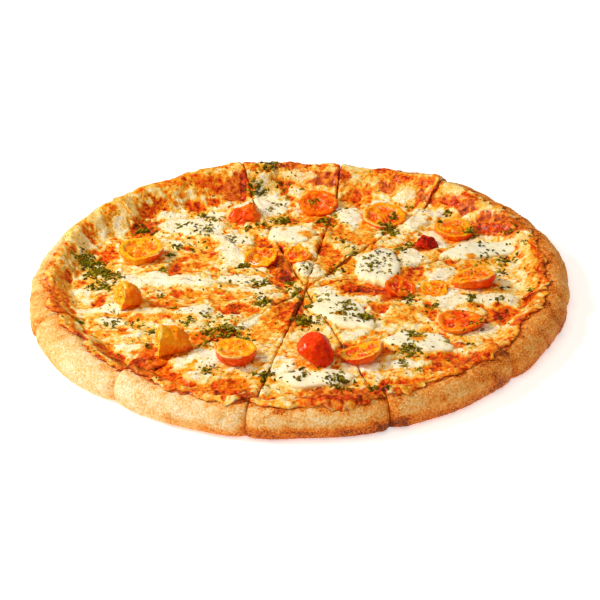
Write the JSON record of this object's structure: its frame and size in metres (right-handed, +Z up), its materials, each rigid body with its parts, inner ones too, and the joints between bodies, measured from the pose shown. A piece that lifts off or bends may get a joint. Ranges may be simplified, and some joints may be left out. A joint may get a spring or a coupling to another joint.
{
  "type": "margherita pizza",
  "caption": "Round margherita pizza cut into slices that lie together: raised crust, tomato sauce, melted cheese, mozzarella slabs, halved cherry tomatoes and dried herbs.",
  "frame": {"origin": "middle of the flat underside, below the middle of the bounding box", "axes": "+Z up, out of the toppings; -Y towards the eater, where the bare crust is widest; +X to the right"},
  "size_m": [0.3526, 0.3516, 0.0277],
  "materials": {
    "crust": "baked bread: dry, pale gold with browned patches and fine semolina grain",
    "sauce": "baked tomato sauce: dark red-orange, moist",
    "cheese": "melted cheese: cream to golden orange with toasted spots, oily sheen, dark green herb flakes",
    "mozzarella": "softened mozzarella: milky white, moist",
    "tomato": "roasted cherry tomato: glossy red-orange skin, wet flesh and seeds"
  },
  "bodies": {
    "root": {"crust_01": "crust", "sauce_01": "sauce", "cheese_01": "cheese", "crust_02": "crust", "sauce_02": "sauce", "cheese_02": "cheese", "crust_03": "crust", "sauce_03": "sauce", "cheese_03": "cheese", "crust_04": "crust", "sauce_04": "sauce", "cheese_04": "cheese", "crust_05": "crust", "sauce_05": "sauce", "cheese_05": "cheese", "crust_06": "crust", "sauce_06": "sauce", "cheese_06": "cheese", "crust_07": "crust", "sauce_07": "sauce", "cheese_07": "cheese", "crust_08": "crust", "sauce_08": "sauce", "cheese_08": "cheese", "crust_09": "crust", "sauce_09": "sauce", "cheese_09": "cheese", "crust_10": "crust", "sauce_10": "sauce", "cheese_10": "cheese", "crust_11": "crust", "sauce_11": "sauce", "cheese_11": "cheese", "crust_12": "crust", "sauce_12": "sauce", "cheese_12": "cheese", "tomato_01": "tomato", "tomato_02": "tomato", "tomato_03": "tomato", "tomato_04": "tomato", "tomato_05": "tomato", "tomato_06": "tomato", "tomato_07": "tomato", "tomato_08": "tomato", "tomato_09": "tomato", "tomato_10": "tomato", "tomato_11": "tomato", "tomato_12": "tomato", "tomato_13": "tomato", "tomato_14": "tomato", "tomato_15": "tomato", "tomato_16": "tomato", "tomato_17": "tomato", "mozzarella_01": "mozzarella", "mozzarella_02": "mozzarella", "mozzarella_03": "mozzarella", "mozzarella_04": "mozzarella", "mozzarella_05": "mozzarella", "mozzarella_06": "mozzarella"}
  },
  "joints": []
}
